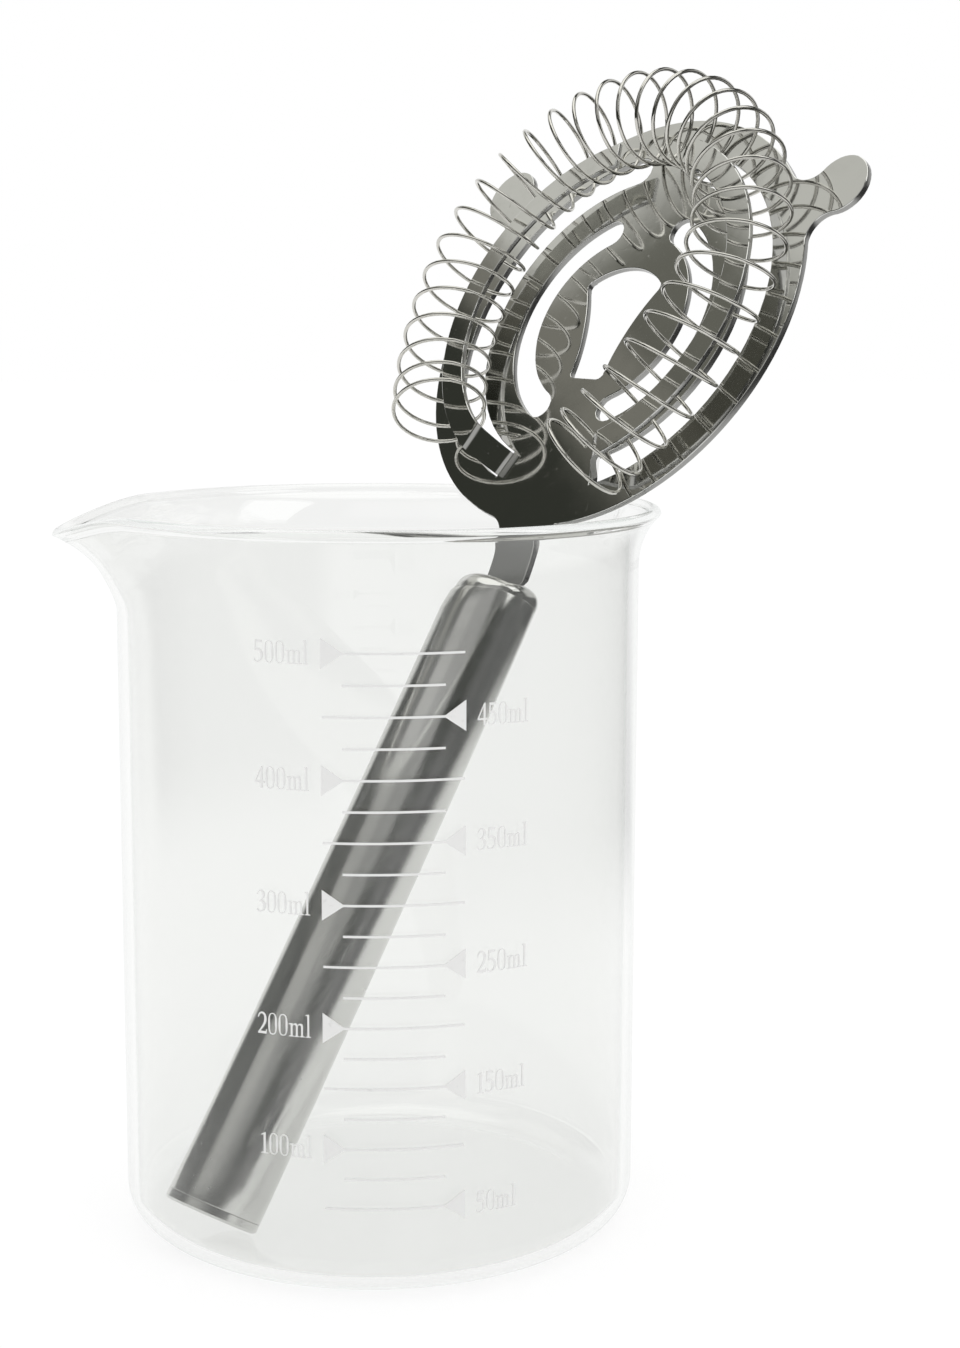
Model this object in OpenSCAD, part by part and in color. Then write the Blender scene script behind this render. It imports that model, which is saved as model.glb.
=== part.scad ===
// Graduated glass mixing pitcher with a spring-rimmed bar strainer standing in it.
// Millimetres, +Z up. The origin is the centre of the underside of the glass.
// The scale faces -Y and the pouring lip points along -X.

/* [Glass] */
// Outside diameter of the straight wall
body_d = 85.2; // [76:0.2:100]
// Height from the underside to the top of the rim
glass_h = 119; // [105:0.5:135]
// Thickness of the wall
wall_t = 1.7; // [1.4:0.1:2.6]
// Thickness of the floor
floor_t = 1.8; // [1.6:0.1:4]
// Outside radius between the wall and the underside
corner_r = 6.4; // [4:0.1:9]

/* [Rim and pouring lip] */
// Outside diameter over the rim
rim_d = 92.2; // [90:0.2:98]
// Thickness of the fire-rounded rim bead
bead_d = 2.2; // [1.8:0.1:3]
// Height over which the wall turns out to the rim
flare_h = 11; // [8:0.5:15]
// How far the tip of the lip stands out past the rim
lip_reach = 6.6; // [3:0.2:9]
// How far the tip of the lip lies below the rim
lip_drop = 3.6; // [1:0.2:5]
// Angle of the rim that the lip takes up
lip_angle = 68; // [50:1:90]
// Height over which the wall is drawn out into the lip
lip_h = 15; // [12:0.5:20]

/* [Scale] */
// Height from one arrow mark to the next, which holds 50 millilitres
mark_rise = 9.5; // [8:0.1:10.2]
// Number of arrow marks
marks = 10; // [4:1:10]
// Height of the zero level above the floor of the glass
zero_h = 3.8; // [0:0.2:6]
// Full width of an arrow mark
mark_w = 21.6; // [16:0.2:28]
// Width of the short line halfway between two arrow marks
half_mark_w = 15.4; // [8:0.2:15.8]
// Width of the printed lines
line_w = 0.35; // [0.25:0.05:0.6]
// Length of an arrow head
arrow_l = 3.4; // [2:0.1:5]
// Height of an arrow head
arrow_h = 4.7; // [3:0.1:6]
// Thickness of the fired enamel
print_t = 0.12; // [0.08:0.02:0.2]

/* [Strainer plate] */
// Diameter of the strainer plate
plate_d = 81.4; // [76:0.2:88]
// Thickness of the sheet
plate_t = 1.2; // [0.8:0.1:1.6]
// Distance from the centre of the plate to an ear's round end, in plate radii
ear_share = 1.18; // [1.13:0.01:1.32]
// Diameter of an ear's round end
ear_d = 11; // [9:0.2:13]
// Angle of an ear above the middle of the plate
ear_angle = 33; // [25:1:40]
// Radius of the concave sides between an ear's round end and the plate
ear_fillet = 4.2; // [3:0.2:6]
// Width of the neck that joins the plate and the handle
neck_w = 9.4; // [8:0.2:10.4]
// Length of neck that shows between the handle and the plate
neck_l = 10; // [6:0.2:14]
// Angle by which the neck and plate are bent forward from the line of the handle
head_tilt = 2; // [0:0.1:4]
// Radius of the concave corner between the neck and the plate
neck_fillet = 5; // [3:0.25:6]

/* [Strainer openings] */
// Radius of the middle of the inner slots, in plate radii
inner_slot_share = 0.479; // [0.455:0.005:0.5]
// Width of the inner slots
inner_slot_w = 5; // [4:0.1:6]
// Angle from the head of the plate to the ends of an inner slot
inner_slot_end = 26; // [20:1:40]
// Height of the keystone's head above the centre of the plate, in plate radii
keystone_share = 0.253; // [0.22:0.005:0.29]
// Depth of the keystone's foot below the centre of the plate, in plate radii
foot_share = 0.295; // [0.22:0.005:0.32]
// Width of the foot of the keystone, in plate radii
foot_width_share = 0.197; // [0.12:0.005:0.27]

/* [Prongs and coil] */
// Radius of the middle of the prongs, in plate radii
prong_share = 0.774; // [0.74:0.005:0.81]
// Width of a prong
prong_w = 4.8; // [4:0.1:5.2]
// Thickness of a prong, thinned a little as it is drawn up
prong_t = 1; // [0.7:0.05:1.1]
// Height of a prong above the middle of the sheet
prong_h = 6.2; // [5:0.1:6.8]
// Length over which a prong bends up from its root
prong_bend = 6; // [5:0.2:8]
// Angle from the head of the plate to the free tip of a prong
prong_tip = 16; // [12:1:30]
// Angle from the head of the plate to the root of a prong, where its slot ends square
prong_root = 160; // [150:1:162]
// Diameter of the coil's wire
wire_d = 0.7; // [0.6:0.05:0.8]
// Outside diameter of the coil
coil_d = 17; // [17:0.2:20]
// Number of turns of the coil
coil_turns = 32; // [24:1:36]
// Angle that the coil runs round its own centre
coil_arc = 297; // [260:1:300]
// Distance that the coil sits up the plate from the middle of the prongs
coil_up = 4.2; // [2:0.2:4.4]
// Distance that the coil sits to the side of the middle of the prongs
coil_aside = 1; // [0:0.1:1.2]
// How far the ends of the coil spread out from their circle
coil_spread = 7; // [2:0.2:7.4]

/* [Handle] */
// Diameter of the handle
handle_d = 15.4; // [14.4:0.1:17]
// Length of the handle over both ends
handle_l = 116.8; // [104:0.2:126]
// Wall of the handle tube
tube_t = 0.9; // [0.6:0.1:1.2]
// Length of the top plug's head
head_l = 3.4; // [3.2:0.1:5]
// Radius round the top plug's head
head_r = 2.8; // [1.5:0.1:3]
// Length of the top plug inside the tube
plug_l = 16; // [12:0.5:24]
// Thickness of the end cap's disc
cap_l = 1.6; // [1.2:0.1:3]
// Length of the end cap inside the tube
cap_plug_l = 5; // [3:0.5:10]
// Direction in which the strainer leans, from +X towards +Y
lean_dir = 36.3; // [20:0.1:60]
// Distance of the handle from the plane of the glass's axis, towards +Y
lean_aside = 0.9; // [0:0.1:3]

/* [Hidden] */

// Clearances
rest_gap = 0.2;     // strainer to the glass, where it leans and stands
print_gap = 0.02;   // enamel to the faceted wall
coil_gap = 0.2;     // coil to the sheet behind it
slip = 0.05;        // plugs in the tube, tang in its slot
prong_gap = 0.3;    // prong to each side of the slot that it was cut from
over = 1;           // overrun of cuts

// Glass, worked out
body_r = body_d/2;
inner_r = body_r - wall_t;
bead_r = bead_d/2;
bead_mid_r = rim_d/2 - bead_r;
bead_z = glass_h - bead_r;
inner_corner_r = corner_r - wall_t;
glass_sides = 80;
corner_steps = 5;
flare_steps = 7;
bead_steps = 6;
lip_rise_share = 1.2;     // how the drawing-out grows towards the rim
lip_flank_share = 1.35;   // how pointed the lip is in plan

// Height at which the wall starts to change, and how far it turns out
flare_z = bead_z - flare_h;
flare_out = bead_mid_r - (body_r - wall_t/2);

// Middle of the wall in the flare, at a share t of the way up to the bead
function flare_r(t) =
    let (arc_r = (flare_h*flare_h + flare_out*flare_out)/(2*flare_out))
    body_r - wall_t/2 + arc_r - sqrt(arc_r*arc_r - t*t*flare_h*flare_h);
// Half of the wall in the flare, which thickens evenly into the bead
function flare_half(t) = wall_t/2 + (bead_r - wall_t/2)*t;

// Half section of the glass: out along the underside, up, over the bead and down inside
function section() = concat(
    [for (i = [0:corner_steps]) let (a = 90*i/corner_steps)
        [body_r - corner_r + corner_r*sin(a), corner_r - corner_r*cos(a)]],
    [[body_r, bead_z - lip_h]],
    [for (i = [1:flare_steps - 1]) let (t = i/flare_steps)
        [flare_r(t) + flare_half(t), flare_z + t*flare_h]],
    [for (i = [0:bead_steps]) let (a = 180*i/bead_steps)
        [bead_mid_r + bead_r*cos(a), bead_z + bead_r*sin(a)]],
    [for (i = [flare_steps - 1:-1:1]) let (t = i/flare_steps)
        [flare_r(t) - flare_half(t), flare_z + t*flare_h]],
    [[inner_r, bead_z - lip_h]],
    [for (i = [corner_steps:-1:0]) let (a = 90*i/corner_steps)
        [inner_r - inner_corner_r + inner_corner_r*sin(a),
         floor_t + inner_corner_r - inner_corner_r*cos(a)]]);

// How far a point takes part in the lip, by its direction and by its height
function lip_side(a) =
    let (off = abs(a - 180)/(lip_angle/2))
    off >= 1 ? 0 : pow((1 + cos(180*off))/2, lip_flank_share);
function lip_rise(z) = pow(max(0, min(1, (z - bead_z + lip_h)/lip_h)), lip_rise_share);

// A point of the section swung round to direction a, drawn out into the lip
function glass_point(p, a) =
    let (k = lip_side(a)*lip_rise(p[1]), r = p[0] + k*lip_reach)
    [r*cos(a), r*sin(a), p[1] - k*lip_drop];

// Scale, worked out
zero_z = floor_t + zero_h;
step_volume = PI*inner_r*inner_r*mark_rise/1000;

// Strainer, worked out in its own frame: the handle runs up Z from its lower end
plate_r = plate_d/2;
ear_reach = ear_share*plate_r;
inner_slot_r = inner_slot_share*plate_r;
keystone_r = keystone_share*plate_r;
keystone_foot = foot_share*plate_r;
keystone_foot_w = foot_width_share*plate_r;
prong_r = prong_share*plate_r;
neck_to_mid = neck_l + plate_r;
tube_in_d = handle_d - 2*tube_t;
plug_d = tube_in_d - 2*slip;
tang_l = plug_l + head_l;
outer_slot_w = prong_w + 2*prong_gap;
slot_head = prong_tip - asin(prong_gap*2/prong_r);
prong_lap = 3;      // angle by which a prong's root runs on into the sheet
inner_slot_foot = 180 - inner_slot_end;
keystone_side_share = 3.5;    // radius of the keystone's sides
keystone_arch_share = 1.35;   // radius of its arched head
keystone_round_share = 0.13;  // radius of its corners

// Where the strainer stands: its lower end touches the floor and the wall, and
// the edge of its plate, its neck or its handle lies on the rim
stand_r = inner_r - rest_gap;
function stand_s(a) = handle_d/2*cos(a) - sqrt(stand_r*stand_r - lean_aside*lean_aside);
function stand_z(a) = floor_t + rest_gap + handle_d/2*sin(a);
// Gap from the rim bead to a point of the sheet: up from the end of the handle,
// v to the side and n forward
function sheet_gap(a, up, v, n) =
    let (b = a - head_tilt,
         s = stand_s(a) + handle_l*sin(a) + up*sin(b) - n*cos(b),
         z = stand_z(a) + handle_l*cos(a) + up*cos(b) + n*sin(b))
    norm([norm([s, v + lean_aside]) - bead_mid_r, z - bead_z]) - bead_r;
// Gap from the rim bead to the side or the upper end of the handle
function tube_gap(a) =
    let (s = bead_mid_r - stand_s(a), z = bead_z - stand_z(a),
         along = s*sin(a) + z*cos(a), across = s*cos(a) - z*sin(a))
    norm([max(0, across - handle_d/2), max(0, along - handle_l)]) - bead_r;
edge_samples = 60;
// The edge's point nearest to the rim is on the side that the handle stands off to
function rim_gap(a) =
    min(tube_gap(a), min([for (i = [0:edge_samples], n = [-plate_t/2, plate_t/2])
        let (v = plate_r*i/edge_samples)
        min(sheet_gap(a, neck_l*i/edge_samples, 0, n),
            sheet_gap(a, neck_to_mid - sqrt(plate_r*plate_r - v*v), v, n))]));
// Bisection for the lean at which that gap is rest_gap
function find_lean(lo, hi, tries) =
    let (mid = (lo + hi)/2)
    tries == 0 ? mid
    : rim_gap(mid) > rest_gap ? find_lean(mid, hi, tries - 1)
    : find_lean(lo, mid, tries - 1);
lean_least = 12;
lean_most = 50;
lean_tries = 20;
// Below the lean that comes nearest to the rim, the gap falls steadily
function first_close(a) =
    a >= lean_most || rim_gap(a) <= rest_gap ? a : first_close(a + 0.5);
lean_end = first_close(lean_least);
lean = find_lean(lean_end - 0.5, lean_end, lean_tries);

// Coil, worked out
coil_mid_r = (coil_d - wire_d)/2;
coil_mid_h = plate_t/2 + coil_gap + wire_d/2 + coil_mid_r;
coil_rings = 8;
wire_sides = 6;

coil_start = -150;          // where on its round the wire begins, from the outside
coil_turned = -7.6;           // how far the coil stands turned round the plate
spread_turned = -4.8;       // middle of its spread, turned round the plate
spread_angle = 98;          // angle from there at which its ends start to spread
side_share = 0.108;         // how much wider the turns lie towards the sides
close_share = 0.134;        // how much the end turns close up

// Direction of the coil's middle line from the coil's centre, at a share t of its turns
function coil_angle(t) =
    let (side = 2*t - 1)
    90 + coil_turned - coil_arc/2*(side + side_share*(pow(side, 3) - side)
        - close_share*(pow(side, 9) - side));
// Distance of the middle line from that centre, in that direction
function coil_reach(a) =
    let (off = max(0, abs(a - 90 - spread_turned) - spread_angle),
         most = coil_arc/2 - spread_angle)
    prong_r + coil_spread*pow(off/most, 2);
// Line of the wire: t runs from 0 to 1, the result is [point, outward]
function coil_at(t) =
    let (a = coil_angle(t),
         f = coil_start + 360*coil_turns*t,
         r = coil_reach(a),
         growth = (coil_reach(a + 0.5) - coil_reach(a - 0.5))*180/PI,
         square_on = a - atan(growth/r),
         out = [cos(f)*cos(square_on), cos(f)*sin(square_on), sin(f)])
    [[coil_aside + r*cos(a), coil_up + r*sin(a), coil_mid_h] + coil_mid_r*out, out];
function unit(v) = v/norm(v);
coil_count = coil_turns*coil_rings;
// Direction of the wire at ring i, from the curve just before and just after
function coil_dir(i) =
    unit(coil_at((i + 0.05)/coil_count)[0] - coil_at((i - 0.05)/coil_count)[0]);
coil_dirs = [for (i = [0:coil_count]) coil_dir(i)];
coil_line = [for (i = [0:coil_count]) coil_at(i/coil_count)[0]];
// The cut ends run on straight for one wire diameter
wire_line = concat(
    [coil_line[0] - wire_d*coil_dirs[0]],
    coil_line,
    [coil_line[coil_count] + wire_d*coil_dirs[coil_count]]);
wire_dirs = concat([coil_dirs[0]], coil_dirs, [coil_dirs[coil_count]]);
wire_outs = [for (i = [0:coil_count + 2])
    coil_at(max(0, min(coil_count, i - 1))/coil_count)[1]];

// Least gap of the wire to itself, over points about a turn apart and more
function turn_gap() =
    min([for (i = [0:coil_count - coil_rings + 2],
              j = [i + coil_rings - 2:min(coil_count, i + coil_rings + 2)])
        norm(coil_line[i] - coil_line[j])]) - wire_d;
echo(least_gap_between_turns = turn_gap(), lean = lean, step_volume = step_volume);

// Colours
glass_tint = [0.86, 0.92, 0.92, 0.35];
enamel_white = [0.96, 0.96, 0.95];
steel_bright = [0.78, 0.78, 0.77];
steel_dark = [0.6, 0.6, 0.59];
wire_bright = [0.85, 0.84, 0.82];

// A tube along points, with a ring of flat sides at each point
module swept_tube(line, dirs, outs, r, sides) {
    n = len(line);
    pts = [for (i = [0:n - 1], k = [0:sides - 1])
        let (out = outs[i], side = cross(dirs[i], outs[i]), a = 360*k/sides)
        line[i] + r*(cos(a)*out + sin(a)*side)];
    walls = [for (i = [0:n - 2], k = [0:sides - 1], half = [0, 1])
        let (p = i*sides + k, q = i*sides + (k + 1)%sides)
        half == 0 ? [p, p + sides, q] : [q, p + sides, q + sides]];
    ends = [for (k = [1:sides - 2], end = [0, 1])
        let (z = (n - 1)*sides)
        end == 0 ? [0, k, k + 1] : [z, z + k + 1, z + k]];
    polyhedron(pts, concat(walls, ends), convexity = 10);
}

// The glass: one wall from the floor to the rim, with the lip drawn out of it
module glass_beaker() {
    line = section();
    n = len(line);
    pts = [for (j = [0:glass_sides - 1], p = line) glass_point(p, 360*j/glass_sides)];
    walls = [for (j = [0:glass_sides - 1], i = [0:n - 2], half = [0, 1])
        let (a = j*n + i, b = ((j + 1)%glass_sides)*n + i)
        half == 0 ? [a, a + 1, b] : [b, a + 1, b + 1]];
    under = [for (j = [0:glass_sides - 1]) j*n];
    inside = [for (j = [glass_sides - 1:-1:0]) j*n + n - 1];
    color(glass_tint) polyhedron(pts, concat(walls, [under, inside]), convexity = 6);
}

// One arrow mark in the flat, centred on its line; dir is 1 where it points right
module arrow_mark(dir) {
    square([mark_w - line_w, line_w], center = true);
    mirror([dir > 0 ? 0 : 1, 0])
        polygon([[-mark_w/2, -arrow_h/2], [arrow_l - mark_w/2, 0], [-mark_w/2, arrow_h/2]]);
}

// The whole scale in the flat, x across and y up
module scale_pattern() {
    for (i = [1:marks]) translate([0, zero_z + i*mark_rise]) {
        arrow_mark(i % 2 == 0 ? 1 : -1);
        if (i < marks)
            translate([0, mark_rise/2]) square([half_mark_w, line_w], center = true);
    }
}

// The scale, fired on to the front of the wall
module scale_marks() {
    color(enamel_white) intersection() {
        rotate([90, 0, 0]) linear_extrude(height = body_d) scale_pattern();
        rotate_extrude($fn = 120)
            translate([body_r + print_gap, 0]) square([print_t, bead_z]);
    }
}

// Puts the strainer's frame where it stands in the glass
module stood() {
    rotate([0, 0, lean_dir]) translate([stand_s(lean), lean_aside, stand_z(lean)])
        rotate([0, lean, 0]) children();
}

// Puts a shape drawn on the plate, x to the side and y up, on the handle's frame
module on_plate() {
    stood() translate([0, 0, handle_l]) rotate([0, -head_tilt, 0])
        translate([0, 0, neck_to_mid]) rotate([90, 0, -90]) children();
}

// A slot bent round the centre, from one angle off the head of the plate to another,
// with a round end at the first angle and, where both is true, at the second
module arc_slot(r, w, from, to, both) {
    steps = 30;
    cap_steps = 8;
    function out(a) = [sin(a), cos(a)];
    function along(a) = [cos(a), -sin(a)];
    function cap(a, turn) = [for (i = [1:cap_steps - 1])
        let (b = turn + 180*i/cap_steps) r*out(a) + w/2*(cos(b)*out(a) + sin(b)*along(a))];
    linear_extrude(height = 2*plate_t, center = true) polygon(concat(
        [for (i = [0:steps]) (r + w/2)*out(from + (to - from)*i/steps)],
        both ? cap(to, 0) : [],
        [for (i = [steps:-1:0]) (r - w/2)*out(from + (to - from)*i/steps)],
        cap(from, 180)));
}

// Keystone opening: arched head, flat foot, sides that curve in to a narrow foot
module keystone() {
    side_r = keystone_side_share*keystone_r;
    arch_r = keystone_arch_share*keystone_r;
    round_r = keystone_round_share*keystone_r;
    tall = keystone_foot + keystone_r;
    linear_extrude(height = 2*plate_t, center = true)
        offset(r = round_r, $fn = 24) offset(delta = -round_r) difference() {
            intersection() {
                translate([-keystone_r, -keystone_foot]) square([2*keystone_r, tall]);
                translate([0, keystone_r - arch_r]) circle(r = arch_r, $fn = 120);
            }
            for (side = [-1, 1])
                translate([side*(keystone_foot_w/2 + side_r), -keystone_foot])
                    circle(r = side_r, $fn = 240);
        }
}

// Outline of the plate with its ears, neck and tang, the corners between them filled
module plate_outline() {
    tang_end = plate_r + neck_l + tang_l;
    offset(r = -ear_fillet, $fn = 48) offset(delta = ear_fillet) {
        circle(r = plate_r, $fn = 120);
        for (side = [0, 1]) mirror([side, 0]) rotate(ear_angle)
            translate([ear_reach, 0]) circle(d = ear_d, $fn = 36);
    }
    offset(r = -neck_fillet, $fn = 48) offset(delta = neck_fillet) {
        circle(r = plate_r, $fn = 120);
        translate([-neck_w/2, -tang_end]) square([neck_w, tang_end]);
    }
}

// A prong: cut from the outer slot, bent up at its root and free at its tip
module prong() {
    steps = 10;
    // Middle of the bend seen from the side, at a share t of its length, and its slope
    function rise(t) = prong_h*t*t*(3 - 2*t);
    function slope(t) = 6*t*(1 - t)*prong_h/prong_bend;
    function side(t, up) =
        [prong_bend*t, rise(t)] + up*prong_t/2*unit([-slope(t), 1]);
    half = prong_t/2;
    intersection() {
        rotate(90 - prong_root - prong_lap)
            rotate_extrude(angle = prong_root + prong_lap - prong_tip, $fn = 180)
                translate([prong_r - prong_w/2, -prong_h]) square([prong_w, 3*prong_h]);
        rotate(90 - prong_root) rotate([90, 0, 90])
            linear_extrude(height = 2*plate_d, center = true) polygon(concat(
                [[-prong_bend, -half]],
                [for (i = [0:steps]) side(i/steps, -1)],
                [[plate_d, prong_h - half], [plate_d, prong_h + half]],
                [for (i = [steps:-1:0]) side(i/steps, 1)],
                [[-prong_bend, half]]));
    }
}

// The strainer's sheet: plate, ears, neck and the tang that goes into the handle
module strainer_plate() {
    color(steel_bright) on_plate() {
        difference() {
            linear_extrude(height = plate_t, center = true) plate_outline();
            keystone();
            for (side = [0, 1]) mirror([side, 0, 0]) {
                arc_slot(inner_slot_r, inner_slot_w, inner_slot_end, inner_slot_foot, true);
                arc_slot(prong_r, outer_slot_w, slot_head, prong_root, false);
            }
        }
        prong();
        mirror([1, 0, 0]) prong();
    }
}

// The coil: one wire wound round both prongs
module coil_spring() {
    color(wire_bright) on_plate()
        swept_tube(wire_line, wire_dirs, wire_outs, wire_d/2, wire_sides);
}

// The handle's tube, between the top plug's head and the end cap's disc
module handle_tube() {
    color(steel_bright) stood() translate([0, 0, cap_l]) difference() {
        cylinder(d = handle_d, h = handle_l - head_l - cap_l, $fn = 96);
        translate([0, 0, -over])
            cylinder(d = tube_in_d, h = handle_l - head_l - cap_l + 2*over, $fn = 96);
    }
}

// Top plug: a round head on the tube and a body inside it, slotted for the tang
module handle_top_plug() {
    color(steel_bright) stood() translate([0, 0, handle_l - head_l]) difference() {
        union() {
            rotate_extrude($fn = 96) {
                square([handle_d/2, head_l - head_r]);
                square([handle_d/2 - head_r, head_l]);
                intersection() {
                    translate([handle_d/2 - head_r, head_l - head_r])
                        circle(r = head_r, $fn = 48);
                    square([handle_d/2, head_l]);
                }
            }
            translate([0, 0, -plug_l]) cylinder(d = plug_d, h = plug_l + head_l/2, $fn = 96);
        }
        translate([0, 0, head_l]) rotate([0, -head_tilt, 0])
            translate([-plate_t/2 - slip, -neck_w/2 - slip, -tang_l - over])
                cube([plate_t + 2*slip, neck_w + 2*slip, tang_l + 2*over]);
    }
}

// End cap: a disc with a fine chamfer and a short body inside the tube
module handle_end_cap() {
    chamfer = 0.25*cap_l;
    color(steel_dark) stood() rotate_extrude($fn = 96) polygon([
        [0, 0], [handle_d/2 - chamfer, 0], [handle_d/2, chamfer], [handle_d/2, cap_l],
        [plug_d/2, cap_l], [plug_d/2, cap_l + cap_plug_l], [0, cap_l + cap_plug_l]]);
}

glass_beaker();
scale_marks();
strainer_plate();
coil_spring();
handle_tube();
handle_top_plug();
handle_end_cap();
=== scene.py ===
"""Looks of a graduated glass mixing pitcher with a spring-rimmed bar strainer in it.

Metres, +Z up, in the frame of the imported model. The scale faces -Y and the
pouring lip points along -X. Each operator builds one piece or group of pieces.
"""

from math import atan, atan2, cos, pi, radians, sin, sqrt

import bmesh
import bpy
from bpy.props import (
    FloatProperty,
    FloatVectorProperty,
    IntProperty,
    PointerProperty,
)
from mathutils import Matrix, Vector


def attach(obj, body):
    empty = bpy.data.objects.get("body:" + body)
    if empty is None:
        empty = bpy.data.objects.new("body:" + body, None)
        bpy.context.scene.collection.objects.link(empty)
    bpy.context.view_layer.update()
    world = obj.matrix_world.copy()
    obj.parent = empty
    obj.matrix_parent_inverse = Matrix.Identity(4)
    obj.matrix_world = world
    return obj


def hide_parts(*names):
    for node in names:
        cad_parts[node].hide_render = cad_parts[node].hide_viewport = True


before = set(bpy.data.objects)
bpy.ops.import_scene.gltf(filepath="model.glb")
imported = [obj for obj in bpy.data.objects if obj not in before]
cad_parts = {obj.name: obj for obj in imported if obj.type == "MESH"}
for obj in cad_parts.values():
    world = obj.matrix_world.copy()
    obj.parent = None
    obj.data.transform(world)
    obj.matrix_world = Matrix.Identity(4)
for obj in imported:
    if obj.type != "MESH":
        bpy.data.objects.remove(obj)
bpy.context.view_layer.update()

bl_info = {
    "name": "Mixing pitcher and strainer",
    "version": (1, 0, 0),
    "blender": (4, 5, 0),
    "location": "View3D > Sidebar > Pitcher",
    "description": "Builds the glass, its printed scale, the strainer and a studio",
    "category": "Object",
}

MM = 0.001
MERGE = 1e-6  # points nearer than this are one point
SAME_FLAT = radians(0.5)  # CAD triangles that turn by less are one flat face


def length(name, millimetres, text):
    """A size that a user may change, shown as a length."""
    return FloatProperty(
        name=name,
        description=text,
        default=millimetres * MM,
        precision=5,
        subtype="DISTANCE",
        unit="LENGTH",
    )


def turn(name, angle, text):
    """An angle that a user may change, given here in degrees."""
    return FloatProperty(
        name=name,
        description=text,
        default=radians(angle),
        subtype="ANGLE",
        unit="ROTATION",
    )


def share(name, value, text, most=1.0):
    """A plain number from nothing to most."""
    return FloatProperty(
        name=name, description=text, default=value, min=0, max=most, precision=4
    )


def colour(name, rgb, text):
    """A colour that a user may change, in linear light."""
    return FloatVectorProperty(
        name=name,
        description=text,
        default=rgb,
        size=3,
        min=0,
        max=1,
        subtype="COLOR",
    )


class GlassSizes(bpy.types.PropertyGroup):
    """Sizes and finish of the glass."""

    body: length("Body", 85.2, "Outside diameter of the straight wall")
    height: length("Height", 119, "Underside to the top of the rim")
    wall: length("Wall", 1.7, "Thickness of the wall")
    floor: length("Floor", 1.8, "Thickness of the floor")
    corner: length("Corner", 6.4, "Radius between wall and underside")
    rim: length("Rim", 92.2, "Outside diameter over the rim")
    bead: length("Bead", 2.2, "Thickness of the fire-rounded rim")
    flare: length("Flare", 8, "Height over which the wall turns out")
    lip_reach: length("Lip reach", 6.6, "How far the lip stands out")
    lip_drop: length("Lip drop", 3.6, "How far the lip's tip lies below the rim")
    lip_height: length("Lip height", 15, "Height drawn out into the lip")
    lip_angle: turn("Lip angle", 68, "Angle of the rim that the lip takes up")
    sides: IntProperty(name="Sides", description="Steps round", default=240, min=48)
    clear: colour("Clear", (0.925, 0.93, 0.92), "Tint of the glass seen square on")
    # Edge is mostly painted shade: it darkens the glass where its wall is seen
    # edge-on, far beyond the glass's own faint tint there
    edge: colour("Edge", (0.61, 0.63, 0.62), "Tint of the glass seen along the wall")


class PrintSizes(bpy.types.PropertyGroup):
    """Sizes and colour of the printed numerals."""

    first: length("First mark", 15.1, "Height of the 50 millilitre mark")
    rise: length("Rise", 9.5, "Height from one arrow mark to the next")
    cap: length("Capitals", 3.35, "Height of the numerals")
    left: length("Left words", 12.7, "Where the words on the left end")
    right: length("Right words", 12.7, "Where the words on the right start")
    squeeze: share("Squeeze", 0.95, "Width of the letters against their drawing")
    film: length("Film", 0.1, "Thickness of the enamel")
    gap: length("Gap", 0.02, "Clearance under the enamel")
    white: colour("White", (0.86, 0.86, 0.85), "Colour of the enamel")


class StrainerSizes(bpy.types.PropertyGroup):
    """Sizes, place and finish of the strainer."""

    lean: turn("Lean", 32.4303, "Lean of the handle from upright")
    lean_dir: turn("Direction", 36.3, "Direction of the lean, from +X to +Y")
    lean_aside: length("Aside", 0.9, "Distance of the handle from the middle")
    rest_gap: length("Clearance", 0.2, "Clearance where it touches the glass")
    handle: length("Handle", 15.4, "Diameter of the handle")
    handle_length: length("Handle length", 116.8, "Length over both ends")
    tube_wall: length("Tube wall", 0.9, "Wall of the handle's tube")
    head: length("Head", 3.4, "Length of the top plug's head")
    cap: length("End cap", 1.6, "Thickness of the end cap's disc")
    neck: length("Neck", 10, "Length of neck between handle and plate")
    head_tilt: turn("Tilt", 2, "Bend of the plate against the handle")
    plate: length("Plate", 81.4, "Diameter of the plate")
    sheet: length("Sheet", 1.2, "Thickness of the plate")
    prong_radius: length("Prongs", 31.5018, "Radius of the middle of the prongs")
    prong_height: length("Prong height", 6.2, "Height of a prong over the sheet")
    prong_sheet: length("Prong sheet", 1, "Thickness of a prong")
    edge: length("Edge", 0.15, "Rounding of the sheet's edges")
    steel: colour("Steel", (0.66, 0.66, 0.64), "Polished sheet and tube")
    wire_steel: colour("Wire steel", (0.60, 0.59, 0.55), "Drawn wire")


class CoilSizes(bpy.types.PropertyGroup):
    """Sizes of the coil on the prongs."""

    wire: length("Wire", 0.7, "Diameter of the wire")
    coil: length("Coil", 17, "Outside diameter of the coil")
    turns: IntProperty(name="Turns", description="Turns of wire", default=32, min=3)
    arc: turn("Arc", 297, "Angle that the coil runs round its centre")
    up: length("Up", 4.2, "Offset of the coil up the plate")
    aside: length("Aside", 1, "Offset of the coil to the side")
    spread: length("Spread", 7, "How far its ends spread out")
    gap: length("Gap", 0.2, "Clearance between coil and sheet")
    steps: IntProperty(name="Steps", description="Points a turn", default=44, min=8)


class StudioLevels(bpy.types.PropertyGroup):
    """Light of the studio, in which 1 shows a colour as it is written."""

    fill: share("Fill", 0.9, "Even light from all round", 4)
    key: share("Key", 0.9, "Watts of the soft lamp on the right", 50)
    kicker: share("Kicker", 0.35, "Watts of the soft lamp on the left", 50)


SETTINGS = {
    "pitcher_glass": GlassSizes,
    "pitcher_print": PrintSizes,
    "pitcher_strainer": StrainerSizes,
    "pitcher_coil": CoilSizes,
    "pitcher_studio": StudioLevels,
}


# Meshes


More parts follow.
